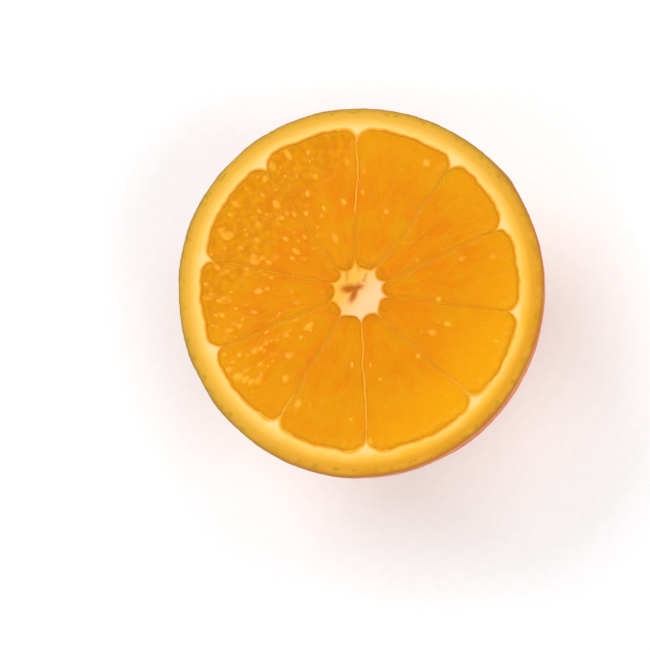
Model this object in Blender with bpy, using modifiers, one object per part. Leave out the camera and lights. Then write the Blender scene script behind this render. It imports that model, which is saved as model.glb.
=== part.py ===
"""Half of a fresh orange, cut across its segments and lying cut face up.

Metres, +Z up. The origin is the middle of the small flat spot that the rounded back lies on, and
the cut face is the top. The half is one solid, as it grew. Skin, pith, membranes and core are one
body, and each segment's pulp is a shallow field in the cut face.
"""

import math

import bmesh
import bpy

# The whole half.
FACE_DIAMETER = 0.076  # across the cut, over the skin
HEIGHT = 0.0365  # from the flat spot to the cut
REST_DIAMETER = 0.018  # the flat spot
CUT_EDGE = 0.0003  # rounding where the knife left the skin

# What the cut shows, from the outside in.
SKIN = 0.0016  # coloured skin, in section
PITH = 0.0030  # white pith under the skin
PITH_DROP = 0.00015  # the soft pith shrinks below the skin's edge
PULP_DROP = 0.0003  # the pulp lies below the pith
SEGMENT_CORNER = 0.0026  # rounding of a segment's two outer corners
WALL = 0.0006  # membrane between two segments
CORE_DIAMETER = 0.0106  # pith in the middle, as far as the segments' tips

# Each membrane's outer end as an angle from +X, and how far left of the axis its line passes.
MEMBRANES = (
    (23, -0.0004),
    (53, -0.0002),
    (90, 0.0011),
    (126, 0.0007),
    (166, -0.0010),
    (200, -0.0006),
    (237, -0.0006),
    (273, 0.0003),
    (316, -0.0005),
    (351, 0.0001),
)

# The core's hollow has three arms. Each is an angle and a length from the hollow's middle, and the
# width of its widest place.
HOLLOW_MIDDLE = (-0.0008, 0.0004)
HOLLOW_ARMS = ((28, 0.0026, 0.0013), (175, 0.0031, 0.0018), (250, 0.0028, 0.0010))
HOLLOW_WIDEST = 0.55  # where an arm is widest, as a share of its length
HOLLOW_TIP = 0.35  # width of an arm's tip, as a share of its widest place
HOLLOW_WAIST = 0.0006  # from the middle to the notch between two arms
HOLLOW_DEPTH = 0.0035

# Fineness of the round shapes.
TURN_STEPS = 72
BACK_STEPS = 14
EDGE_STEPS = 3
ARC_STEP = math.radians(15)
SIDE_STEP = math.radians(4)
CUTTER_RISE = 0.001  # how far a cutter stands above the cut face

FACE_RADIUS = FACE_DIAMETER / 2
REST_RADIUS = REST_DIAMETER / 2
CORE_RADIUS = CORE_DIAMETER / 2
PULP_RADIUS = FACE_RADIUS - SKIN - PITH
PITH_LEVEL = HEIGHT - PITH_DROP
PULP_LEVEL = PITH_LEVEL - PULP_DROP


def clear_scene():
    """Removes whatever the scene holds."""
    for obj in list(bpy.data.objects):
        bpy.data.objects.remove(obj, do_unlink=True)


def make_collection(name):
    """A new collection in the scene."""
    collection = bpy.data.collections.new(name)
    bpy.context.scene.collection.children.link(collection)
    return collection


def make_material(name, colour, roughness):
    """A plain material with one colour."""
    material = bpy.data.materials.new(name)
    material.use_nodes = True
    shader = material.node_tree.nodes["Principled BSDF"]
    shader.inputs["Base Color"].default_value = (*colour, 1.0)
    shader.inputs["Roughness"].default_value = roughness
    shader.inputs["Metallic"].default_value = 0.0
    return material


def arc(centre, radius, start, end, step):
    """Points along an arc, anticlockwise from one angle to another, both ends included."""
    count = max(1, math.ceil((end - start) / step))
    angles = [start + (end - start) * i / count for i in range(count + 1)]
    return [
        (centre[0] + radius * math.cos(a), centre[1] + radius * math.sin(a)) for a in angles
    ]


def body_profile():
    """The half's outline from the top of its axis, over the cut edge and down the back."""
    # The back is a quarter of an ellipse that is cut off where the flat spot begins.
    drop = (HEIGHT - CUT_EDGE) / math.sqrt(1 - (REST_RADIUS / FACE_RADIUS) ** 2)
    lowest = math.acos(REST_RADIUS / FACE_RADIUS)
    edge = arc((FACE_RADIUS - CUT_EDGE, HEIGHT - CUT_EDGE), CUT_EDGE, 0, math.pi / 2,
               math.pi / 2 / EDGE_STEPS)
    back = []
    for i in range(1, BACK_STEPS + 1):
        angle = lowest * i / BACK_STEPS
        back.append((FACE_RADIUS * math.cos(angle), HEIGHT - CUT_EDGE - drop * math.sin(angle)))
    back[-1] = (REST_RADIUS, 0.0)
    inside = FACE_RADIUS - SKIN
    return [(0.0, PITH_LEVEL), (inside, PITH_LEVEL), (inside, HEIGHT)] + edge[::-1] + back + [(0.0, 0.0)]


def make_body(collection):
    """The solid half without its face relief, turned about the axis."""
    profile = body_profile()
    points = [(x, 0.0, z) for x, z in profile]
    mesh = bpy.data.meshes.new("orange_half")
    mesh.from_pydata(points, [(i, i + 1) for i in range(len(points) - 1)], [])
    body = bpy.data.objects.new("orange_half", mesh)
    collection.objects.link(body)
    turn = body.modifiers.new("turn", "SCREW")
    turn.steps = TURN_STEPS
    turn.render_steps = TURN_STEPS
    turn.use_merge_vertices = True
    turn.merge_threshold = 0.00001
    return body


def make_prism(name, outline, bottom, collection):
    """A cutter with an upright wall along a flat outline, from bottom to above the cut face."""
    top = HEIGHT + CUTTER_RISE
    flat = bpy.data.curves.new(name, "CURVE")
    flat.dimensions = "2D"
    flat.fill_mode = "BOTH"
    flat.extrude = (top - bottom) / 2
    spline = flat.splines.new("POLY")
    spline.points.add(len(outline) - 1)
    for point, (x, y) in zip(spline.points, outline):
        point.co = (x, y, 0.0, 1.0)
    spline.use_cyclic_u = True
    guide = bpy.data.objects.new(name, flat)
    guide.location.z = (top + bottom) / 2
    collection.objects.link(guide)
    bpy.context.view_layer.update()

    evaluated = guide.evaluated_get(bpy.context.evaluated_depsgraph_get())
    mesh = bpy.data.meshes.new_from_object(evaluated)
    solid = bmesh.new()
    solid.from_mesh(mesh)
    bmesh.ops.remove_doubles(solid, verts=solid.verts, dist=0.000001)
    bmesh.ops.recalc_face_normals(solid, faces=solid.faces)
    solid.to_mesh(mesh)
    solid.free()
    cutter = bpy.data.objects.new(f"{name}_cutter", mesh)
    cutter.matrix_world = guide.matrix_world
    bpy.data.objects.remove(guide, do_unlink=True)
    collection.objects.link(cutter)
    cutter.hide_render = True
    cutter.display_type = "WIRE"
    return cutter


def membrane_direction(angle, miss):
    """Direction of a membrane's line: its outer end keeps its angle while it misses the axis."""
    return math.radians(angle) - math.asin(miss / PULP_RADIUS)


def tip_radius(right_reach, left_reach, opening):
    """Radius of the tip's circle, which touches both sides of the segment and the core."""
    low, high = 0.0, PULP_RADIUS
    for _ in range(50):
        radius = (low + high) / 2
        middle = CORE_RADIUS + radius
        turned = math.asin((right_reach + radius) / middle)
        turned += math.asin((left_reach + radius) / middle)
        if turned < opening:
            low = radius
        else:
            high = radius
    return radius


def segment_outline(right, left):
    """Outline of one segment's pulp, anticlockwise: its tip by the core, then its outer side."""
    right_way = membrane_direction(*right)
    left_way = membrane_direction(*left)
    if left_way < right_way:
        left_way += 2 * math.pi
    # How far each side of the pulp lies from the axis, counted into the segment.
    right_reach = WALL / 2 + right[1]
    left_reach = WALL / 2 - left[1]

    tip = tip_radius(right_reach, left_reach, left_way - right_way)
    tip_reach = CORE_RADIUS + tip
    tip_way = right_way + math.asin((right_reach + tip) / tip_reach)
    tip_middle = (tip_reach * math.cos(tip_way), tip_reach * math.sin(tip_way))
    points = arc(tip_middle, tip, left_way + math.pi / 2, right_way + math.pi * 3 / 2, ARC_STEP)

    corner_reach = PULP_RADIUS - SEGMENT_CORNER
    right_corner = right_way + math.asin((right_reach + SEGMENT_CORNER) / corner_reach)
    left_corner = left_way - math.asin((left_reach + SEGMENT_CORNER) / corner_reach)
    middle = (corner_reach * math.cos(right_corner), corner_reach * math.sin(right_corner))
    points += arc(middle, SEGMENT_CORNER, right_way - math.pi / 2, right_corner, ARC_STEP)
    points += arc((0.0, 0.0), PULP_RADIUS, right_corner, left_corner, SIDE_STEP)[1:-1]
    middle = (corner_reach * math.cos(left_corner), corner_reach * math.sin(left_corner))
    points += arc(middle, SEGMENT_CORNER, left_corner, left_way + math.pi / 2, ARC_STEP)
    return points


def hollow_outline():
    """Outline of the core's three-armed hollow, anticlockwise from the first arm."""
    points = []
    for i, (angle, length, width) in enumerate(HOLLOW_ARMS):
        following = HOLLOW_ARMS[(i + 1) % len(HOLLOW_ARMS)][0]
        following += 360 if following < angle else 0
        way = math.radians(angle)
        belly, tip = length * HOLLOW_WIDEST, width / 2 * HOLLOW_TIP
        for along, aside in (
            (belly, -width / 2), (length, -tip), (length, tip), (belly, width / 2)
        ):
            points.append(
                (
                    HOLLOW_MIDDLE[0] + along * math.cos(way) - aside * math.sin(way),
                    HOLLOW_MIDDLE[1] + along * math.sin(way) + aside * math.cos(way),
                )
            )
        between = math.radians((angle + following) / 2)
        points.append(
            (
                HOLLOW_MIDDLE[0] + HOLLOW_WAIST * math.cos(between),
                HOLLOW_MIDDLE[1] + HOLLOW_WAIST * math.sin(between),
            )
        )
    return points


def cut(body, cutter):
    """Takes a cutter's shape out of the body."""
    boolean = body.modifiers.new(cutter.name, "BOOLEAN")
    boolean.operation = "DIFFERENCE"
    boolean.solver = "EXACT"
    boolean.object = cutter


def main():
    clear_scene()
    parts = make_collection("orange")
    cutters = make_collection("cutters")
    body = make_body(parts)
    body.data.materials.append(make_material("orange_flesh_and_skin", (0.85, 0.27, 0.01), 0.4))
    neighbours = MEMBRANES[1:] + MEMBRANES[:1]
    for number, (right, left) in enumerate(zip(MEMBRANES, neighbours), start=1):
        outline = segment_outline(right, left)
        cut(body, make_prism(f"segment_{number:02d}", outline, PULP_LEVEL, cutters))
    cut(body, make_prism("hollow", hollow_outline(), PITH_LEVEL - HOLLOW_DEPTH, cutters))


main()
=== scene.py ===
# %% [markdown]
# # Half an orange, cut face up
#
# The CAD half is one plain solid: a turned back, ten shallow fields for the pulp and a core with
# a small hollow. This lesson builds the fruit that is seen: a pebbled skin, a spongy pith with its
# membranes, and ten segments full of juice sacs. Every place and size starts from that solid, which
# is loaded first.

# %% Load the frame
import math
import random

import bpy
import numpy as np
from mathutils import Matrix, Vector, kdtree, noise


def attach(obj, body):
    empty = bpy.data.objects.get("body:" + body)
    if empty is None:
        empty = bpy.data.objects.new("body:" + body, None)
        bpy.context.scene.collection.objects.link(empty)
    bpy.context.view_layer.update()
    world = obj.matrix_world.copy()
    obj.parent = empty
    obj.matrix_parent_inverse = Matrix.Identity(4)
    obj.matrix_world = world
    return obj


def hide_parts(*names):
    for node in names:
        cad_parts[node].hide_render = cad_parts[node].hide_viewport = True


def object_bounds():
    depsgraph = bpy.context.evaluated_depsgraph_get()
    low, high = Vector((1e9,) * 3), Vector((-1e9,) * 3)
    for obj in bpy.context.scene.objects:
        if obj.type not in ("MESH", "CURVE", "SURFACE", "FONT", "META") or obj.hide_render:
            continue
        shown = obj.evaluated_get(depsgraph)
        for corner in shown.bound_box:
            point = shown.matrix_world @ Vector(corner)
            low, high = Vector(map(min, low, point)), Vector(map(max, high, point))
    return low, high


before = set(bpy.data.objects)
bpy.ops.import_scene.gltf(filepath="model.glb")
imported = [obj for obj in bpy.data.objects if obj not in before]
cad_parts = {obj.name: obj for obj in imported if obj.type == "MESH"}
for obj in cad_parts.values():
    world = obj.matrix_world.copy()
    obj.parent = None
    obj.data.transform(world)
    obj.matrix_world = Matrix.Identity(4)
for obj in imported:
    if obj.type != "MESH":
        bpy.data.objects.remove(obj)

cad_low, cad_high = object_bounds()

MM = 0.001
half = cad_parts["orange_half"]
print("CAD box in mm:", [round(side / MM, 2) for side in cad_high - cad_low])

# %% [markdown]
# The CAD solid's flat, upward faces lie at four levels: the skin's cut edge, the pith just below
# it, the pulp, and the floor of the core's hollow. Adding up face areas by height finds them, so
# that no size has to be typed in twice.

# %% Measure the solid
FACES_UP = 0.999  # a normal's z, beyond which a face counts as facing up
SAME = 1e-6  # places this close count as the same


def levels_of(mesh):
    """The heights of the upward faces, highest first, with their areas in mm2."""
    areas = {}
    for face in mesh.polygons:
        if face.normal.z > FACES_UP:
            height = round(face.center.z, 6)
            areas[height] = areas.get(height, 0.0) + face.area / MM**2
    return sorted(areas.items(), reverse=True)


def reach_of(point):
    """Distance from the fruit's axis."""
    return math.hypot(point[0], point[1])


levels = levels_of(half.data)
CUT_LEVEL, PITH_LEVEL, PULP_LEVEL, HOLLOW_LEVEL = (height for height, _ in levels[:4])
corners = [vertex.co.copy() for vertex in half.data.vertices]
FACE_RADIUS = (cad_high.x - cad_low.x) / 2
REST_RADIUS = max(reach_of(corner) for corner in corners if corner.z < SAME)
SKIN_INSIDE = min(reach_of(corner) for corner in corners if corner.z > CUT_LEVEL - SAME)
PULP_RADIUS = max(reach_of(corner) for corner in corners if abs(corner.z - PULP_LEVEL) < SAME)
CENTRE = Vector((0, 0, CUT_LEVEL))
print("levels in mm and their areas:", [(round(z / MM, 2), round(a)) for z, a in levels])
print("skin in section, mm:", round((FACE_RADIUS - SKIN_INSIDE) / MM, 2))

# %% [markdown]
# A few helpers that every piece uses. An operator works on whatever is selected, so one object is
# made the only selected and active one before each run of operators. Vertices and faces are picked
# in code, by a rule on their places.

# %% Helpers for objects and selections
def only(obj):
    """Makes one object the only selected and the active one, in object mode."""
    if bpy.context.object and bpy.context.object.mode != "OBJECT":
        bpy.ops.object.mode_set(mode="OBJECT")
    bpy.ops.object.select_all(action="DESELECT")
    obj.select_set(True)
    bpy.context.view_layer.objects.active = obj


def select(obj, kind, rule):
    """Enters edit mode with only the vertices or faces selected that the rule picks."""
    only(obj)
    bpy.ops.object.mode_set(mode="EDIT")
    bpy.ops.mesh.select_mode(type={"vertices": "VERT", "polygons": "FACE"}[kind])
    bpy.ops.mesh.select_all(action="DESELECT")
    bpy.ops.object.mode_set(mode="OBJECT")
    for element in getattr(obj.data, kind):
        element.select = rule(element)
    bpy.ops.object.mode_set(mode="EDIT")


def close_edit():
    """Turns every face outwards and leaves edit mode."""
    bpy.ops.mesh.select_all(action="SELECT")
    bpy.ops.mesh.normals_make_consistent(inside=False)
    bpy.ops.object.mode_set(mode="OBJECT")


def apply_all(obj):
    """Applies an object's modifiers in their order."""
    only(obj)
    for modifier in list(obj.modifiers):
        bpy.ops.object.modifier_apply(modifier=modifier.name)


# %% [markdown]
# Fine detail is worked out for all of a piece's vertices at once, as rows of numbers. What a
# material has to follow, such as how deep in a groove a vertex lies, is stored with the mesh as an
# attribute.

# %% Helpers for vertices in numbers
def coordinates(obj):
    """The vertices' places as rows of x, y, z."""
    places = np.empty(len(obj.data.vertices) * 3, np.float32)
    obj.data.vertices.foreach_get("co", places)
    return places.reshape(-1, 3).astype(np.float64)


def put(obj, places):
    """Moves the vertices to new places."""
    obj.data.vertices.foreach_set("co", places.astype(np.float32).ravel())
    obj.data.update()


def reaches(places):
    """Distances from the fruit's axis."""
    return np.hypot(places[:, 0], places[:, 1])


def store(obj, name, values):
    """Stores one number for each vertex, which a material can read by its name."""
    made = obj.data.attributes.new(name, "FLOAT", "POINT")
    made.data.foreach_set("value", np.asarray(values, np.float32))


def ease(values, low, high):
    """0 at low, 1 at high and a smooth rise between them. High may be below low."""
    share = np.clip((values - low) / (high - low), 0.0, 1.0)
    return share * share * (3 - 2 * share)


def tree_of(places):
    """A search tree over some places."""
    tree = kdtree.KDTree(len(places))
    for i, place in enumerate(places):
        tree.insert(place, i)
    tree.balance()
    return tree


# %% [markdown]
# Grown surfaces are never quite even. Blender's Displace modifier moves each vertex along its
# normal by a cloud texture, so one helper adds it with a texture of a stated grain and depth. It
# reads local places, which here are also places in the frame.

# %% A helper for uneven surfaces
def uneven(obj, grain, depth):
    """Adds a Displace modifier: grain is the texture's size and depth its whole travel."""
    texture = bpy.data.textures.new(f"{obj.name}_{grain / MM:g}mm", "CLOUDS")
    texture.noise_scale = grain
    displace = obj.modifiers.new(texture.name, "DISPLACE")
    displace.texture = texture
    displace.texture_coords = "LOCAL"
    displace.strength = depth


# %% [markdown]
# A knife shows walls that wander a little, because every segment grew by itself. The pith and the
# pulp have to wander together, or gaps would open between them. So one helper works out the same
# sideways drift for both from their places in the face. It fades out at the skin, which is firm.
# Blender's noise vectors start from the clock unless they are given a seed, so they get one here,
# and every run gives the same fruit.

# %% A helper that lets the walls wander
DRIFTS = ((4.5 * MM, 0.38 * MM), (1.5 * MM, 0.20 * MM))  # the grain of each, and its travel
HELD = 2 * MM  # how far inside the skin the drift has faded in
SEED = 7
noise.seed_set(SEED)


def wander(obj):
    """Moves the vertices sideways by smooth noise that depends only on x and y."""
    places = coordinates(obj)
    hold = ease(reaches(places), SKIN_INSIDE, SKIN_INSIDE - HELD)
    for i, (x, y, _) in enumerate(places.tolist()):
        for grain, travel in DRIFTS:
            drift = noise.noise_vector((x / grain, y / grain, 0.5))
            places[i, 0] += drift.x * travel * hold[i]
            places[i, 1] += drift.y * travel * hold[i]
    put(obj, places)


# %% [markdown]
# A grown fruit isn't a true circle either. Where a neighbour or a branch pressed on it, it is a
# little flatter, and elsewhere fuller, and its pith is thicker on one side. Each entry here is a
# wave around the fruit: how many crests it has, how far they stand out, and the angle of the first.
# A wave without crests is the same all round. One set of waves pushes the skin's outside and one
# the pulp's rim, and the push fades out towards the axis. The knife passed a little above the
# widest part, so the skin also swells below the cut. All the pieces are pushed in the same way at
# the very end, so they still fit.

# %% A helper that makes the fruit less round
SKIN_WAVES = ((0, 0.02 * MM, 0), (1, 0.58 * MM, 98), (2, 0.44 * MM, -54), (3, 0.26 * MM, 19))
PULP_WAVES = ((0, -0.62 * MM, 0), (1, 0.88 * MM, 98), (2, 0.68 * MM, -55))
WAIST_SWELL = 0.2 * MM
WAIST_DEPTH = 8 * MM  # how far below the cut the swelling is widest


def push_of(waves, angle):
    """How far the waves push out at each angle."""
    return sum(
        height * np.cos(crests * (angle - math.radians(first))) for crests, height, first in waves
    )


def grow(obj):
    """Pushes the vertices out or in by the waves."""
    places = coordinates(obj)
    angle = np.arctan2(places[:, 1], places[:, 0])
    reach = np.maximum(reaches(places), SAME)
    pulp_push = push_of(PULP_WAVES, angle)
    within = np.minimum(reach / PULP_RADIUS, 1.0) ** 2
    beyond = np.clip((reach - PULP_RADIUS) / (FACE_RADIUS - PULP_RADIUS), 0.0, 1.0)
    depth = CUT_LEVEL - places[:, 2]
    waist = ease(depth, 0, WAIST_DEPTH) * ease(depth, 3 * WAIST_DEPTH, WAIST_DEPTH)
    skin_push = push_of(SKIN_WAVES, angle) + WAIST_SWELL * waist
    push = pulp_push * within + (skin_push - pulp_push) * beyond
    places[:, :2] *= (1 + push / reach)[:, None]
    put(obj, places)


# %% [markdown]
# ## The skin
#
# The skin of an orange is waxy and pebbled. Under it lie oil glands, little round pockets about a
# millimetre apart, and the surface dips over each one. The flat spot and the half-round back come
# first: an ico sphere has triangles of even size all over, so every gland gets the same detail,
# which a UV sphere can't give near its poles. It is squashed to the fruit's height, trimmed above
# the cut, and pressed flat where it lies.

# %% Shape the back
DEPTH = CUT_LEVEL / math.sqrt(1 - (REST_RADIUS / FACE_RADIUS) ** 2)
TRIM = 0.8 * MM  # left above the cut until the knife goes through

bpy.ops.mesh.primitive_ico_sphere_add(subdivisions=8, radius=FACE_RADIUS, location=CENTRE)
skin = bpy.context.object
skin.name = "skin"
bpy.ops.object.transform_apply(location=True, rotation=True, scale=True)
bpy.ops.object.mode_set(mode="EDIT")
bpy.ops.mesh.select_all(action="SELECT")
bpy.ops.transform.resize(value=(1, 1, DEPTH / FACE_RADIUS), center_override=CENTRE)
bpy.ops.mesh.bisect(plane_co=CENTRE + Vector((0, 0, TRIM)), plane_no=(0, 0, 1), clear_outer=True)
bpy.ops.object.mode_set(mode="OBJECT")
uneven(skin, grain=14 * MM, depth=0.5 * MM)
uneven(skin, grain=5 * MM, depth=0.2 * MM)
apply_all(skin)
select(skin, "vertices", lambda v: v.co.z < 0)
bpy.ops.transform.resize(value=(1, 1, 0), center_override=(0, 0, 0))
bpy.ops.object.mode_set(mode="OBJECT")
print("back:", len(skin.data.vertices), "vertices")

# %% [markdown]
# The glands are scattered by a spiral that spaces points evenly over a ball, each then nudged at
# random, and each gets its own width and depth. A vertex dips by the gland nearest to it. The same
# number, from 0 between glands to 1 in the middle of one, is stored for the material, so that the
# colour follows the real dips.

# %% Press in the oil glands
GLAND_SPACING = 1.25 * MM
GLAND_WIDTH = (0.32 * MM, 0.55 * MM)
GLAND_DIP = (0.06 * MM, 0.13 * MM)
GLAND_NUDGE = 0.33  # as a share of the spacing
ROOM_EACH = 0.87  # area for each point of an even scatter, as a share of its spacing squared
draw = random.Random(SEED)


def scatter_glands():
    """Even, nudged places over the squashed ball, with a width and a dip for each."""
    count = int(4 * math.pi * FACE_RADIUS**2 / (ROOM_EACH * GLAND_SPACING**2))
    golden = math.pi * (3 - math.sqrt(5))
    glands = []
    for i in range(count):
        height = 1 - 2 * (i + 0.5) / count
        if height * DEPTH > TRIM:
            continue
        around = math.sqrt(1 - height * height) * FACE_RADIUS
        nudge = Vector((draw.uniform(-1, 1), draw.uniform(-1, 1), draw.uniform(-1, 1)))
        place = CENTRE + nudge * GLAND_SPACING * GLAND_NUDGE + Vector((
            math.cos(golden * i) * around, math.sin(golden * i) * around, height * DEPTH
        ))
        place.z = max(place.z, 0.0)
        glands.append((place, draw.uniform(*GLAND_WIDTH), draw.uniform(*GLAND_DIP)))
    return glands


glands = scatter_glands()
gland_tree = tree_of([place for place, _, _ in glands])
places = coordinates(skin)
in_gland = np.zeros(len(places))
dips = np.zeros(len(places))
for i, place in enumerate(places):
    _, nearest, distance = gland_tree.find(place)
    _, width, dip = glands[nearest]
    in_gland[i] = math.exp(-((distance / width) ** 2))
    dips[i] = dip * in_gland[i]
outwards = places - np.array(CENTRE)
outwards /= np.linalg.norm(outwards, axis=1)[:, None]
put(skin, places - outwards * dips[:, None])
store(skin, "gland", in_gland)
print(len(glands), "oil glands")

# %% [markdown]
# The blossom left a small round scar at the far end of the fruit: a shallow dimple in the flat
# spot, with dry brown skin. A scab on one side, no bigger than a lentil, stands a little proud.

# %% Dimple the blossom scar and raise the scab
SCAR_RADIUS, SCAR_DIP = 1.5 * MM, 0.35 * MM
SCAB_PLACE = Vector((30.0, 22.0, CUT_LEVEL / MM - 3.0)) * MM
SCAB_RADIUS, SCAB_RISE = 4.0 * MM, 0.55 * MM
SCAB_DRYNESS = 0.6  # against the scar's

places = coordinates(skin)
below = places[:, 2] < CUT_LEVEL / 4
scar = np.where(below, np.exp(-((reaches(places) / SCAR_RADIUS) ** 4)), 0.0)
scab = np.exp(-((np.linalg.norm(places - np.array(SCAB_PLACE), axis=1) / SCAB_RADIUS) ** 2))
places[:, 2] += scar * SCAR_DIP
places[:, :2] *= (1 + scab * SCAB_RISE / FACE_RADIUS)[:, None]
put(skin, places)
store(skin, "dry", np.maximum(scar, SCAB_DRYNESS * scab))

# %% [markdown]
# Now the knife. Bisect cuts the ball just below the cut level. The open edge is extruded up and in,
# which rounds it as far as a blade leaves it round, then inwards three times, which makes the band
# of cut skin, then down, and closed with a floor. So the skin is one closed body with a shallow bed
# for the pith and pulp.

# %% Cut the skin and make its bed
BED_DEPTH = 2.2 * MM
BAND_STEPS = 3
BLUNT = 0.2 * MM  # how much of the edge is rounded

select(skin, "vertices", lambda v: True)
blunt_low = CENTRE - Vector((0, 0, BLUNT))
bpy.ops.mesh.bisect(plane_co=blunt_low, plane_no=(0, 0, 1), clear_outer=True)
bpy.ops.mesh.select_mode(type="EDGE")
bpy.ops.mesh.select_all(action="DESELECT")
bpy.ops.mesh.select_non_manifold()
band = [FACE_RADIUS, *np.linspace(FACE_RADIUS - BLUNT, SKIN_INSIDE, BAND_STEPS + 1)]
for step, (before, after) in enumerate(zip(band, band[1:])):
    bpy.ops.mesh.extrude_region_move(
        TRANSFORM_OT_translate={"value": (0, 0, 0 if step else BLUNT)}
    )
    bpy.ops.transform.resize(value=(after / before, after / before, 1), center_override=CENTRE)
bpy.ops.mesh.extrude_region_move(TRANSFORM_OT_translate={"value": (0, 0, -BED_DEPTH)})
bpy.ops.mesh.edge_face_add()
close_edit()
store(skin, "reach", reaches(coordinates(skin)))
print("skin:", len(skin.data.polygons), "faces")

# %% [markdown]
# ## The pith
#
# The white pith lines the skin, runs as thin membranes between the segments and fills the core.
# It is one spongy tissue, so it is one piece. The CAD solid already has its outline: all its flat
# faces at the pith's level. A copy of the solid is reduced to those faces and extruded down to the
# skin's bed.

# %% Lift the pith out of the solid
def lift(name, level):
    """A new object with only the solid's upward faces at one level."""
    flat = bpy.data.objects.new(name, half.data.copy())
    bpy.context.scene.collection.objects.link(flat)
    select(flat, "vertices", lambda v: True)
    bpy.ops.mesh.remove_doubles(threshold=SAME)
    select(flat, "polygons", lambda f: f.normal.z < FACES_UP or abs(f.center.z - level) > SAME)
    bpy.ops.mesh.delete(type="FACE")
    bpy.ops.object.mode_set(mode="OBJECT")
    flat.data.materials.clear()
    return flat


def thicken(flat, bottom):
    """Extrudes flat faces straight down to a height, into a closed body."""
    depth = flat.data.vertices[0].co.z - bottom
    select(flat, "polygons", lambda f: True)
    bpy.ops.mesh.extrude_region_move(TRANSFORM_OT_translate={"value": (0, 0, -depth)})
    close_edit()


BED_LEVEL = CUT_LEVEL - BED_DEPTH
pith = lift("pith", PITH_LEVEL)
thicken(pith, BED_LEVEL)

# %% [markdown]
# The skin isn't perfectly even, so the pith's outer wall is pushed a little way into it. Nothing
# shows between them then. The core's hollow goes deeper than this layer. A short cylinder under the
# core gives it a floor, and joins the pith's mesh.

# %% Let the pith into the skin and floor the hollow
TUCK = 0.45 * MM
HOLLOW_DEPTH = 0.8 * MM
PLUG_RADIUS = 4.5 * MM

select(pith, "vertices", lambda v: reach_of(v.co) > SKIN_INSIDE - 0.1 * MM)
grown = (SKIN_INSIDE + TUCK) / SKIN_INSIDE
bpy.ops.transform.resize(value=(grown, grown, 1), center_override=CENTRE)
bpy.ops.object.mode_set(mode="OBJECT")

plug_top = PITH_LEVEL - HOLLOW_DEPTH
bpy.ops.mesh.primitive_cylinder_add(
    vertices=48, radius=PLUG_RADIUS, depth=plug_top - BED_LEVEL,
    location=(0, 0, (plug_top + BED_LEVEL) / 2),
)
plug = bpy.context.object
only(pith)
plug.select_set(True)
bpy.ops.object.join()

# %% [markdown]
# A voxel remesh fuses the two and gives the pith fine, even faces. Smoothing rounds its edges, as
# soft tissue is. Later a Displace modifier roughens it and a drift sways it from side to side,
# which takes away its ruled look.

# %% Give the pith its soft form
PITH_VOXEL = 0.23 * MM


def remesh(obj, voxel):
    """Adds a voxel remesh, which fuses overlapping shapes and gives them even faces."""
    modifier = obj.modifiers.new("even faces", "REMESH")
    modifier.mode = "VOXEL"
    modifier.voxel_size = voxel


remesh(pith, PITH_VOXEL)
soften = pith.modifiers.new("soft edges", "SMOOTH")
soften.factor = 0.5
soften.iterations = 12
apply_all(pith)

# %% [markdown]
# Thin membranes and thick pith don't look the same: pulp shines through a membrane. How thick the
# pith is at a vertex follows from its distance to the nearest segment, so points are laid along the
# edges of the solid's pulp fields, and each vertex finds the nearest. The membranes also shrink
# below the ring and the core, down to the pulp, and only a few stand a little above it. The knots
# where membranes meet the ring are found here too, for the material.

# %% Find the thick pith and sink the membranes
EDGE_STEP = 0.1 * MM
MEMBRANE_SINK = 0.03 * MM  # how far most membranes lie below the pulp
PROUD_RISE = 0.14 * MM  # how far above the others a proud one stands
PROUD_ENDS = 4 * MM  # over which it rises
# The membranes that stand up, each by its angle, and from which distance to which it does.
PROUD = ((90, 14 * MM, 34 * MM), (273, 5 * MM, 34 * MM), (237, 24 * MM, 34 * MM),
         (316, 24 * MM, 34 * MM))
BESIDE = math.cos(math.radians(8))  # closer than this angle, it is the same membrane

fields = lift("segment", PULP_LEVEL)


def rim_points(flat):
    """Points along the open edges of a flat mesh, a step apart."""
    uses = {}
    for face in flat.data.polygons:
        for key in face.edge_keys:
            uses[key] = uses.get(key, 0) + 1
    points = []
    for (a, b), count in uses.items():
        if count > 1:
            continue
        start, end = flat.data.vertices[a].co, flat.data.vertices[b].co
        steps = max(1, math.ceil((end - start).length / EDGE_STEP))
        points += [start.lerp(end, i / steps) for i in range(steps)]
    return points


def distances(tree, places, level):
    """How far each place is from the nearest point in the tree, seen from above."""
    return np.array([tree.find((x, y, level))[2] for x, y, _ in places.tolist()])


rims = rim_points(fields)
rim_tree = tree_of(rims)
CORE_RADIUS = min(reach_of(point) for point in rims)
places = coordinates(pith)
reach = reaches(places)
angle = np.arctan2(places[:, 1], places[:, 0])
thick = distances(rim_tree, places, PULP_LEVEL)
on_top = places[:, 2] > PULP_LEVEL - 0.2 * MM
between = ease(reach, CORE_RADIUS, CORE_RADIUS + 2 * MM)
between *= ease(reach, PULP_RADIUS - 0.3 * MM, PULP_RADIUS - 3.5 * MM)
wall = on_top & (between > 0.99) & (thick > 0.25 * MM)
ridge = np.median(places[wall, 2])
proud = np.zeros(len(places))
for way, start, end in PROUD:
    near = np.cos(angle - math.radians(way)) > BESIDE
    proud = np.maximum(proud, near * ease(reach, start, start + PROUD_ENDS) * (reach < end))
sink = ridge - PULP_LEVEL + MEMBRANE_SINK - PROUD_RISE * proud
places[:, 2] -= between * ease(thick, 1.2 * MM, 0.4 * MM) * sink
put(pith, places)
knot = ease(thick, 0.3 * MM, 1.2 * MM)
knot *= ease(reach, PULP_RADIUS + 1.8 * MM, PULP_RADIUS - 0.4 * MM)
knot *= ease(reach, PULP_RADIUS - 6 * MM, PULP_RADIUS - 3 * MM)
store(pith, "knot", knot)
store(pith, "thick", thick / MM)
store(pith, "reach", reach)
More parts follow.
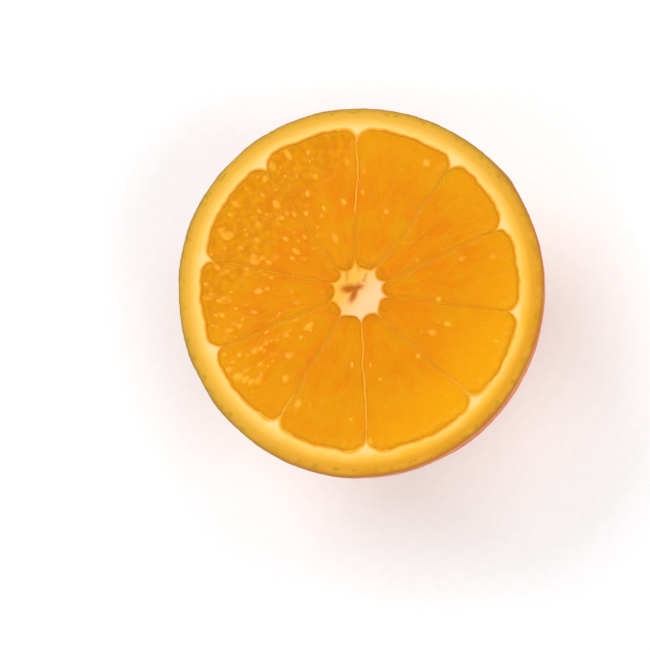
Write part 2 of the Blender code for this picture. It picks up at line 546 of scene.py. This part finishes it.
store(pith, "proud", proud * ease(thick, 1.0 * MM, 0.4 * MM))
print("core radius in mm:", round(CORE_RADIUS / MM, 2), "ridges sink:", round(sink.mean() / MM, 2))

# %% [markdown]
# The edge of the core's hollow is soft and slopes inwards. It is painted brown orange, partly a
# juice stain and partly painted shade in the recess. The hollow's floor is lifted out of the solid
# to find how far a vertex is from its edge, and how far from its middle. The floor rises, and the
# painted stain and shade fade, towards the ends of the three arms.

# %% Slope the hollow and paint its stain and shade
STAIN_AND_SHADE_WIDTH = 0.8 * MM
STAIN_AND_SHADE_MIDDLE, STAIN_AND_SHADE_FADE = 1.3, 0.6  # strength in the middle, and how much an arm's end loses
SLOPE_DIP = 0.4 * MM
FLOOR_RISE = 0.4 * MM  # how much shallower the arms end than the middle is
ARM_LENGTH = 3.2 * MM

hollow = lift("hollow", HOLLOW_LEVEL)
hollow_rims = rim_points(hollow)
bpy.data.objects.remove(hollow)
from_edge = distances(tree_of(hollow_rims), places, HOLLOW_LEVEL)
middle = min(hollow_rims, key=lambda p: sum((p - q).length for q in hollow_rims))
outwards = np.hypot(places[:, 0] - middle.x, places[:, 1] - middle.y) / ARM_LENGTH
in_hollow = (places[:, 2] < PITH_LEVEL - HOLLOW_DEPTH / 2) & (reach < PLUG_RADIUS)
beyond_edge = np.where(in_hollow, -from_edge, from_edge)  # below 0 inside the hollow
# the brown orange in and around the hollow: partly a juice stain, partly painted shade in the
# recess
stain_and_shade = ease(beyond_edge, STAIN_AND_SHADE_WIDTH, -STAIN_AND_SHADE_WIDTH) * (STAIN_AND_SHADE_MIDDLE - STAIN_AND_SHADE_FADE * outwards)
hollow_floor = plug_top + FLOOR_RISE * np.minimum(outwards, 1.0)
sloped = places[:, 2] - SLOPE_DIP * ease(beyond_edge, STAIN_AND_SHADE_WIDTH, 0)
slopes = (beyond_edge < STAIN_AND_SHADE_WIDTH) & (places[:, 2] > BED_LEVEL + 0.1 * MM)
places[:, 2] = np.where(slopes, np.maximum(sloped, hollow_floor), places[:, 2])
store(pith, "stain_and_shade", np.clip(stain_and_shade, 0.0, 1.0))

# %% [markdown]
# The core's tissue is crumpled and has torn a little as the fruit dried. Each tear is a short soft
# groove, given by its two ends, in millimetres from the axis. It is deepest halfway.

# %% Tear the core
TEARS = (
    ((-2.3, 5.2), (-2.9, 1.4)), ((-4.4, 4.6), (-4.7, 2.4)), ((2.3, 4.6), (1.0, 1.4)),
    ((-0.1, 5.8), (0.3, 3.8)),
)
TEAR_WIDTH = 0.45 * MM
TEAR_DIP = 0.25 * MM


def torn(places, start, end):
    """How deep in one tear each place is, from 0 outside it to 1 at its middle."""
    start, end = np.array(start) * MM, np.array(end) * MM
    offset = places[:, :2] - start
    share = np.clip(offset @ (end - start) / ((end - start) @ (end - start)), 0.0, 1.0)
    aside = np.linalg.norm(offset - share[:, None] * (end - start), axis=1)
    return 4 * share * (1 - share) * np.exp(-((aside / TEAR_WIDTH) ** 2))


tear = np.max([torn(places, *ends) for ends in TEARS], axis=0)
tear *= places[:, 2] > PULP_LEVEL
places[:, 2] -= TEAR_DIP * tear
put(pith, places)
store(pith, "tear", tear)

# %% [markdown]
# Spongy tissue is rough all over, but it is firmly grown to the skin. So the roughness fades out
# there, and the rim is raised until it stands just above the cut skin, to leave no gap.

# %% Roughen the pith and join it to the skin
JOIN = 0.08 * MM  # how far the pith stands above the cut skin

even = coordinates(pith)
uneven(pith, grain=1.1 * MM, depth=0.16 * MM)
apply_all(pith)
share = ease(reach, SKIN_INSIDE - 0.3 * MM, SKIN_INSIDE - 1.5 * MM)[:, None]
places = even * (1 - share) + coordinates(pith) * share
places[:, 2] += ease(reach, SKIN_INSIDE - 2 * MM, SKIN_INSIDE) * (CUT_LEVEL + JOIN - PITH_LEVEL)
put(pith, places)
wander(pith)
print("pith:", len(pith.data.polygons), "faces")

# %% [markdown]
# ## The pulp
#
# Each segment is a bag packed with juice sacs, long drops that point at the core. The knife has
# cut through them, and the cut shows each sac as a faint wet cushion. The segments start as the
# solid's ten sunken fields, separated into ten objects, thickened and remeshed. A last Displace
# swells each one into the membranes round it, which hides its own edge.

# %% Separate the ten segments
SEGMENT_VOXEL = 0.19 * MM
SEGMENT_SWELL = 0.38 * MM  # over half a membrane, so that neighbours meet

only(fields)
bpy.ops.object.mode_set(mode="EDIT")
bpy.ops.mesh.select_all(action="SELECT")
bpy.ops.mesh.separate(type="LOOSE")
bpy.ops.object.mode_set(mode="OBJECT")


def middle_angle(obj):
    """The angle from +X, 0 to 360 degrees, of the middle of an object's box."""
    places = coordinates(obj)[:, :2]
    x, y = (places.max(0) + places.min(0)) / 2
    return math.degrees(math.atan2(y, x)) % 360


segments = sorted(bpy.context.selected_objects, key=middle_angle)
for number, segment in enumerate(segments, start=1):
    segment.name = f"segment_{number:02d}"
    segment.data.name = segment.name
print([f"{s.name} {middle_angle(s):.0f}" for s in segments])

# %% Thicken and remesh them
for segment in segments:
    thicken(segment, BED_LEVEL)
    remesh(segment, SEGMENT_VOXEL)
    apply_all(segment)
    store(segment, "reach", reaches(coordinates(segment)))
    swell = segment.modifiers.new("swell", "DISPLACE")
    swell.mid_level = 0.0
    swell.strength = SEGMENT_SWELL
    apply_all(segment)
    places = coordinates(segment)
    places[:, 2] -= SEGMENT_SWELL * ease(places[:, 2], PULP_LEVEL - 0.5 * MM, PULP_LEVEL)
    put(segment, places)
print("one segment:", len(segments[0].data.polygons), "faces")

# %% [markdown]
# The sacs are laid out in rows from the core to the rim, in a plane where one step along is a sac's
# length and one step across its width. Angle times a middle radius is the way across, so the rows
# draw together at the core as they do in the fruit. The two nearest sac centres tell how near a
# vertex is to the groove between them. Near the core the pulp has shrunk away and lies deeper.

# %% Cut through the juice sacs
SAC_LENGTH = 5.0 * MM
SAC_WIDTH = 1.8 * MM
SAC_GROOVE = 0.04 * MM
SAC_STEP = 0.025 * MM  # neighbours are cut at heights this different
SAC_NUDGE = (0.4, 0.36)  # along and across, in sacs
GROOVE_WIDTH = 0.2  # in sacs
MIDDLE_RADIUS = 24 * MM
TIP_SINK = 0.08 * MM  # how much deeper the pulp lies near the core
TIP_LENGTH = 3 * MM


def sac_plane(segment):
    """The vertices as steps of sacs: along from the axis outwards, and across around it."""
    places = coordinates(segment)
    turned = math.radians(middle_angle(segment))
    x = places[:, 0] * math.cos(turned) + places[:, 1] * math.sin(turned)
    y = places[:, 1] * math.cos(turned) - places[:, 0] * math.sin(turned)
    return np.hypot(x, y) / SAC_LENGTH, np.arctan2(y, x) * MIDDLE_RADIUS / SAC_WIDTH


def scatter_sacs(along, across):
    """Nudged sac centres that cover the vertices, each with a height and a tint."""
    sacs = []
    for row in range(int(along.min()) - 1, int(along.max()) + 2):
        for column in range(int(across.min()) - 2, int(across.max()) + 3):
            step = row + (0.5 if column % 2 else 0.0) + draw.uniform(-SAC_NUDGE[0], SAC_NUDGE[0])
            place = (step, column + draw.uniform(-SAC_NUDGE[1], SAC_NUDGE[1]), 0.0)
            sacs.append((place, draw.uniform(-1, 1), draw.uniform(0, 1)))
    return sacs


def cut_sacs(segment):
    """Grooves and steps between the sacs on a segment's cut face."""
    along, across = sac_plane(segment)
    sacs = scatter_sacs(along, across)
    tree = tree_of([place for place, _, _ in sacs])
    groove = np.zeros(len(along))
    step = np.zeros(len(along))
    tint = np.zeros(len(along))
    for i, spot in enumerate(zip(along, across, np.zeros(len(along)))):
        (_, first, near), (_, _, far) = tree.find_n(spot, 2)
        groove[i] = math.exp(-(((far - near) / GROOVE_WIDTH) ** 2))
        step[i], tint[i] = sacs[first][1:]
    places = coordinates(segment)
    on_face = ease(places[:, 2], PULP_LEVEL - 0.4 * MM, PULP_LEVEL - 0.1 * MM)
    rise = SAC_STEP * step * (1 - groove) - SAC_GROOVE * groove
    sunk = TIP_SINK * ease(reaches(places), CORE_RADIUS + TIP_LENGTH, CORE_RADIUS)
    places[:, 2] += (rise - sunk) * on_face
    put(segment, places)
    store(segment, "groove", groove)
    store(segment, "tint", tint)


for segment in segments:
    cut_sacs(segment)
    uneven(segment, grain=3.5 * MM, depth=0.12 * MM)
    apply_all(segment)

# %% [markdown]
# At its rim the pulp isn't cut off square. The knife pressed it down in the middle, and it still
# clings to the walls, so it climbs a little there, most of all at the ring and the core. How near
# the ring a vertex is also goes to the material, which paints a darker mottle there as painted
# shade at the foot of the ring.

# %% Let the pulp cling to its rim
SIDE_CLIMB, END_CLIMB = 0.03 * MM, 0.20 * MM
CLIMB_WIDTH = 2.2 * MM

for segment in segments:
    places = coordinates(segment)
    near = ease(distances(rim_tree, places, PULP_LEVEL), CLIMB_WIDTH, 0)
    outer = ease(reaches(places), PULP_RADIUS - 6 * MM, PULP_RADIUS - 3 * MM)
    on_face = ease(places[:, 2], PULP_LEVEL - 0.6 * MM, PULP_LEVEL - 0.2 * MM)
    inner = ease(reaches(places), CORE_RADIUS + 4 * MM, CORE_RADIUS + 1.5 * MM)
    climb = SIDE_CLIMB + (END_CLIMB - SIDE_CLIMB) * np.maximum(outer, inner)
    places[:, 2] += climb * near * on_face
    put(segment, places)
    store(segment, "rim", near * outer)

# %% [markdown]
# The knife burst some sacs, and their juice stands on the cut in little beads. They crowd on one
# side of the face and are few on the other. Each bead is a low dome, and the material paints it
# paler, a painted highlight on the dome, so how far up a dome a vertex lies is stored too. With the
# beads in place, the segments wander as the pith did.

# %% Set beads of juice on the cut
BEAD_TRIES = 520
BEAD_RADIUS = (0.34 * MM, 0.95 * MM)
BEAD_RISE = 0.2  # of the radius
BEAD_STRETCH = 1.8  # the longest bead's length, as a share of its width
BARE = 0.13  # share of the face's area, in its middle, that has no beads
BEAD_INSET = 0.8 * MM  # from the ring
CROWDED = (108, 222)  # from this angle to this one
CROWD_REACH = 20 * MM  # from the axis, where the crowd is full
SPARSE = 0.1  # share of the beads that stay elsewhere

beads = []
for _ in range(BEAD_TRIES):
    angle = draw.uniform(0, 360)
    distance = (draw.uniform(BARE, 1.0) ** 0.5) * (PULP_RADIUS - BEAD_INSET)
    radius = BEAD_RADIUS[0] + (BEAD_RADIUS[1] - BEAD_RADIUS[0]) * draw.random() ** 2
    stays = draw.random()
    if CROWDED[0] < angle < CROWDED[1]:
        crowd = min(1.0, distance / CROWD_REACH)
    else:
        crowd = SPARSE
    if stays < crowd:
        way = math.radians(angle)
        place = Vector((math.cos(way) * distance, math.sin(way) * distance, PULP_LEVEL))
        beads.append((place, radius, way, draw.uniform(1.0, BEAD_STRETCH), draw.uniform(0.3, 1)))
bead_tree = tree_of([bead[0] for bead in beads])


def set_beads(segment):
    """Raises the domes and stores how far up one each vertex is."""
    places = coordinates(segment)
    bead = np.zeros(len(places))
    rise = np.zeros(len(places))
    for i, (x, y, z) in enumerate(places.tolist()):
        if z < PULP_LEVEL - 0.8 * MM:
            continue
        farthest = BEAD_RADIUS[1] * BEAD_STRETCH
        for place, found, _ in bead_tree.find_range((x, y, PULP_LEVEL), farthest):
            _, radius, way, stretch, full = beads[found]
            along = (x - place.x) * math.cos(way) + (y - place.y) * math.sin(way)
            across = (y - place.y) * math.cos(way) - (x - place.x) * math.sin(way)
            up = max(0.0, 1 - (along / radius / stretch) ** 2 - (across / radius) ** 2)
            bead[i] = max(bead[i], up * full)
            rise[i] = max(rise[i], up * radius * BEAD_RISE)
    places[:, 2] += rise
    put(segment, places)
    store(segment, "bead", bead)


for segment in segments:
    set_beads(segment)
    wander(segment)
print(len(beads), "beads of juice")

# %% [markdown]
# ## Finishes
#
# Each finish is a tree of shader nodes. One helper adds a node with its settings and links, and one
# turns a colour written as sRGB hex into the linear numbers that Blender mixes.

# %% Helpers for materials
A, B, MIXED = 6, 7, 2  # the colour sockets of a Mix node


def linear(colour):
    """An sRGB hex colour as linear red, green, blue and a full alpha."""
    shares = [int(colour[i : i + 2], 16) / 255 for i in (1, 3, 5)]
    return (*(s / 12.92 if s <= 0.04045 else ((s + 0.055) / 1.055) ** 2.4 for s in shares), 1.0)


def add(tree, kind, inputs, output=0, **settings):
    """Adds a node and returns one of its outputs. An input is a link, a hex colour or a number."""
    made = tree.nodes.new(kind)
    for name, value in settings.items():
        setattr(made, name, value)
    for name, value in inputs.items():
        if isinstance(value, bpy.types.NodeSocket):
            tree.links.new(value, made.inputs[name])
        else:
            made.inputs[name].default_value = linear(value) if isinstance(value, str) else value
    return made.outputs[output]


# %% [markdown]
# A natural finish is a stack of thin colours, each showing through where some pattern lets it. So a
# material starts with its shader's own values, and is closed by laying its colours over each other
# and adding a fine grain. A pattern is a number that varies over the surface. Its colour begins
# where the pattern has one value, is full at another, and covers at most its share.

# %% Start a material and close it
def start_material(name, **values):
    """A new material with its tree, its shader and the places in the frame as a vector."""
    material = bpy.data.materials.new(name)
    material.use_nodes = True
    tree = material.node_tree
    shader = tree.nodes["Principled BSDF"]
    for label, value in values.items():
        shader.inputs[label.replace("_", " ")].default_value = value
    return material, tree, shader, add(tree, "ShaderNodeTexCoord", {}, "Object")


def close_material(tree, shader, colour, layers, grain, height):
    """Lays the colours over each other on the shader and adds the grain as bump."""
    for pattern, begins, full, share, paint in layers:
        factor = add(
            tree, "ShaderNodeMapRange",
            {"Value": pattern, "From Min": begins, "From Max": full, "To Max": share},
            interpolation_type="SMOOTHSTEP",
        )
        mixing = {0: factor, A: colour, B: paint}
        colour = add(tree, "ShaderNodeMix", mixing, MIXED, data_type="RGBA")
    bump = add(tree, "ShaderNodeBump", {"Height": grain, "Strength": 0.5, "Distance": height})
    tree.links.new(colour, shader.inputs["Base Color"])
    tree.links.new(bump, shader.inputs["Normal"])


# %% [markdown]
# **Skin.** A ripe orange's skin is coloured wax over living cells: satin, not glossy, deep orange
# with patches a little redder or yellower, darker in the dips of the glands, and dry brown on the
# scar and the scab. The bump deepens the dips that the mesh already has, so that each one catches
# the light.

# %% Waxy orange skin
def waxy_skin():
    material, tree, shader, place = start_material(
        "waxy_orange_skin", Roughness=0.38, IOR=1.42, Specular_IOR_Level=0.3
    )
    gland, dry = (
        add(tree, "ShaderNodeAttribute", {}, "Fac", attribute_name=name)
        for name in ("gland", "dry")
    )
    patch, cells = (
        add(tree, "ShaderNodeTexNoise", {"Vector": place, "Scale": 1 / size, "Detail": 3})
        for size in (11 * MM, 0.35 * MM)
    )
    pebbles = add(tree, "ShaderNodeMath", {0: cells, 1: gland}, operation="SUBTRACT")
    layers = [
        (patch, 0.33, 0.67, 1.0, "#d46808"),
        (gland, 0.0, 1.0, 0.35, "#b75806"),
        (dry, 0.0, 1.0, 1.0, "#8c6034"),
    ]
    close_material(tree, shader, "#de7a0c", layers, pebbles, 0.2 * MM)
    return material


# %% [markdown]
# The cut rind isn't the same all round: on one side of the face all its colours are browner. Skin
# and pith have to change together, or their join would show, so one function makes both.

# %% Colours that get warmer across the face
BROWN_SIDE = (0.77, -0.64, 0)  # the way across the face in which the colours get warmer
WHERE_THEY_MEET = ("#e2aa36", "#dc9a1e")  # skin and pith have this colour at their join


def across(tree, place, cool, warm, begins=-10 * MM, full=28 * MM):
    """One colour on the cool side of the face, another on its warm side, and a blend between."""
    side = add(tree, "ShaderNodeVectorMath", {0: place, 1: BROWN_SIDE}, "Value",
               operation="DOT_PRODUCT")
    share = add(tree, "ShaderNodeMapRange", {"Value": side, "From Min": begins, "From Max": full})
    return add(tree, "ShaderNodeMix", {0: share, A: cool, B: warm}, MIXED, data_type="RGBA")


# %% [markdown]
# **Cut skin.** In section the skin is a golden band, paler where it meets the pith, olive brown
# along its outer edge, and browner on one side. Cut glands show as soft greenish clouds in it.

# %% Cut skin
def cut_skin():
    material, tree, shader, place = start_material(
        "cut_skin", Roughness=0.5, IOR=1.38, Specular_IOR_Level=0.2
    )
    reach = add(tree, "ShaderNodeAttribute", {}, "Fac", attribute_name="reach")
    patch, cloud, cells = (
        add(tree, "ShaderNodeTexNoise", {"Vector": place, "Scale": 1 / size, "Detail": 2})
        for size in (4 * MM, 1.6 * MM, 0.4 * MM)
    )
    middle = across(tree, place, "#c8982c", "#ca861a")
    edge = across(tree, place, "#a98334", "#b4722a")
    layers = [
        (reach, SKIN_INSIDE, FACE_RADIUS - 0.4 * MM, 1.0, middle),
        (patch, 0.4, 0.65, 0.5, "#dca62a"),
        (cloud, 0.45, 0.3, 0.5, "#e09640"),
        (cloud, 0.52, 0.7, 0.7, "#b08a18"),
        (reach, FACE_RADIUS - 0.7 * MM, FACE_RADIUS - 0.1 * MM, 0.9, edge),
    ]
    inner = across(tree, place, *WHERE_THEY_MEET)
    close_material(tree, shader, inner, layers, cells, 0.03 * MM)
    return material


# %% [markdown]
# ** Pith.** Spongy and matt. Where it is thick it is cream, and where it thins towards the pulp the orange shines through. It is palest where a membrane meets the ring, golden towards the skin, and the core is palest on one side. The hollow is painted brown orange, partly a juice stain and partly painted shade in the recess. The tears are painted darker in their grooves, as painted shade.

# %% Spongy pith
def spongy_pith():
    material, tree, shader, place = start_material(
        "spongy_pith", Roughness=0.65, IOR=1.38, Specular_IOR_Level=0.15
    )
    thick, reach, knot, tear, stain_and_shade, proud = (
        add(tree, "ShaderNodeAttribute", {}, "Fac", attribute_name=name)
        for name in ("thick", "reach", "knot", "tear", "stain_and_shade", "proud")
    )
    patch, sponge = (
        add(tree, "ShaderNodeTexNoise", {"Vector": place, "Scale": 1 / size, "Detail": 3})
        for size in (5 * MM, 0.9 * MM)
    )
    painted_tear_shade = add(tree, "ShaderNodeMath", {0: tear, 1: sponge}, operation="MULTIPLY")
    ring = across(tree, place, "#fcc45a", "#fcba34", 5 * MM)
    outer = across(tree, place, *WHERE_THEY_MEET)
    core = across(tree, place, "#f4b446", "#fac690", -2.2 * MM, 2.4 * MM)
    layers = [
        (patch, 0.35, 0.65, 0.3, "#fcca70"),
        (reach, PULP_RADIUS + 1.0 * MM, SKIN_INSIDE, 1.0, outer),
        (knot, 0.0, 0.7, 0.8, "#ffd08c"),
        (reach, 9 * MM, 6 * MM, 1.0, core),
        (thick, 0.8, 0.25, 1.0, "#e08e06"),
        (proud, 0.0, 1.0, 0.7, "#f8ac2c"),
        # painted shade in the tears' grooves
        (painted_tear_shade, 0.05, 0.6, 0.65, "#c47e24"),
        # partly a juice stain, partly painted shade in the hollow's recess
        (stain_and_shade, 0.0, 1.0, 1.0, "#ba6408"),
    ]
    close_material(tree, shader, ring, layers, sponge, 0.05 * MM)
    return material


# %% [markdown]
# ** Pulp.** Wet and translucent. Light goes a few millimetres into the sacs and comes out deep orange, yellower out at the rim. Where the beads crowd it is mottled, because there the sacs have burst at different depths. Along the foot of the ring and at the segments' tips the mottle is darker: painted shade. Juice is nearly water, so the index of refraction is close to water's.

# %% Wet pulp
def wet_pulp():
    material, tree, shader, place = start_material(
        "wet_orange_pulp", Roughness=0.36, IOR=1.34, Specular_IOR_Level=0.2,
        Subsurface_Weight=0.5, Subsurface_Radius=(1.0, 0.45, 0.05), Subsurface_Scale=1.2 * MM,
    )
    reach, tint, rim, groove, bead = (
        add(tree, "ShaderNodeAttribute", {}, "Fac", attribute_name=name)
        for name in ("reach", "tint", "rim", "groove", "bead")
    )
    side = add(tree, "ShaderNodeVectorMath", {0: place, 1: BROWN_SIDE}, "Value",
               operation="DOT_PRODUCT")
    blotch, patch, mottle, cells = (
        add(tree, "ShaderNodeTexNoise", {"Vector": place, "Scale": 1 / size, "Detail": 2})
        for size in (9 * MM, 3.5 * MM, 1.5 * MM, 0.7 * MM)
    )
    # The mottle is laid three times: darker on one side of the face, then as painted shade along
    # the foot of the ring and at the segments' tips.
    ramps = ((side, -8 * MM, -24 * MM), (rim, 0.0, 1.0), (reach, 9 * MM, 6.5 * MM))
    burst, edge, painted_tip_shade = (
        add(
            tree, "ShaderNodeMath",
            {0: mottle, 1: add(tree, "ShaderNodeMapRange",
                               {"Value": value, "From Min": begins, "From Max": full})},
            operation="MULTIPLY",
        )
        for value, begins, full in ramps
    )
    layers = [
        (blotch, 0.33, 0.67, 1.0, "#de9400"),
        (patch, 0.35, 0.65, 0.5, "#e67e00"),
        (tint, 0.0, 1.0, 0.3, "#e29a00"),
        (reach, 20 * MM, 33 * MM, 0.5, "#e4a004"),
        (side, 14 * MM, 32 * MM, 0.6, "#f0aa00"),
        (burst, 0.35, 0.6, 0.5, "#cc7c00"),
        # painted shade at the segments' tips, near the core
        (painted_tip_shade, 0.35, 0.65, 0.45, "#b87c06"),
        # painted shade along the foot of the ring
        (edge, 0.3, 0.65, 0.5, "#cc920c"),
        (groove, 0.0, 1.0, 0.1, "#f0a020"),
        # a painted highlight: the beads' domes are painted paler
        (bead, 0.0, 1.0, 0.8, "#ffb636"),
    ]
    close_material(tree, shader, "#de8400", layers, cells, 0.03 * MM)
    return material


# %% [markdown]
# The pieces get their finishes, are pushed out of round together, and are shaded smooth. Each rides
# on the one body, and the CAD solid is hidden.

# %% Dress every piece
pulp = wet_pulp()
for segment in segments:
    segment.data.materials.append(pulp)
pith.data.materials.append(spongy_pith())
skin.data.materials.append(waxy_skin())
skin.data.materials.append(cut_skin())
for face in skin.data.polygons:
    on_cut = face.center.z > CUT_LEVEL - 0.6 * BLUNT and abs(face.normal.z) > 0.5
    face.material_index = 1 if on_cut else 0

for piece in [skin, pith, *segments]:
    grow(piece)
    only(piece)
    bpy.ops.object.shade_smooth_by_angle(angle=math.radians(50))
    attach(piece, "root")
    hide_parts("orange_half")

# %% [markdown]
# ## Floor, light and camera
#
# A sheet of white paper, a broad soft light high on one side, and three weaker ones that open the
# shadows.

# %% Floor
bpy.ops.mesh.primitive_plane_add(size=4, location=(0, 0, 0))
floor = bpy.context.object
floor.name = "floor"
paper, tree, shader, place = start_material("white_paper", Roughness=0.9)
fibres = add(tree, "ShaderNodeTexNoise", {"Vector": place, "Scale": 1 / (2 * MM)})
close_material(tree, shader, "#fafcfe", [(fibres, 0.3, 0.7, 1.0, "#fcfeff")], fibres, 0.01 * MM)
floor.data.materials.append(paper)

# %% Camera
FRAME_WIDTH = 132.3 * MM  # how much the picture shows across, at the cut face
TILT = math.radians(14.5)  # away from straight above
TILT_WAY = math.radians(-40)  # towards this angle from +X
LENS, SENSOR = 140, 36  # a long lens and its sensor's width, in mm
AIM = Vector((-6.88 * MM, -6.54 * MM, CUT_LEVEL))

away = Vector((
    math.sin(TILT) * math.cos(TILT_WAY), math.sin(TILT) * math.sin(TILT_WAY), math.cos(TILT)
))
right = Vector((0, 1, 0)).cross(away).normalized()
up = away.cross(right)
turn = Matrix((right, up, away)).transposed().to_4x4()
camera_data = bpy.data.cameras.new("camera")
camera_data.lens = LENS
camera_data.sensor_width = SENSOR
camera = bpy.data.objects.new("camera", camera_data)
bpy.context.scene.collection.objects.link(camera)
camera.matrix_world = Matrix.Translation(AIM + away * FRAME_WIDTH * LENS / SENSOR) @ turn
bpy.context.scene.camera = camera

# %% Light
def soft_light(name, place, size, power):
    """A square light that faces the fruit."""
    lamp = bpy.data.lights.new(name, "AREA")
    lamp.size = size
    lamp.energy = power
    obj = bpy.data.objects.new(name, lamp)
    bpy.context.scene.collection.objects.link(obj)
    obj.location = place
    obj.rotation_euler = (CENTRE - Vector(place)).to_track_quat("-Z", "Y").to_euler()


soft_light("key", (-0.65, 0.65, 0.80), 0.8, 7.2)
soft_light("front_fill", (0.80, -0.50, 0.80), 0.9, 7.4)
soft_light("back_fill", (0.60, 0.80, 0.90), 0.9, 5)
soft_light("side_fill", (-0.70, -0.70, 0.90), 0.9, 5)
world = bpy.data.worlds.new("studio")
world.use_nodes = True
world.node_tree.nodes["Background"].inputs["Color"].default_value = (1, 1, 1, 1)
world.node_tree.nodes["Background"].inputs["Strength"].default_value = 0.3
bpy.context.scene.world = world
bpy.context.scene.view_settings.view_transform = "Standard"
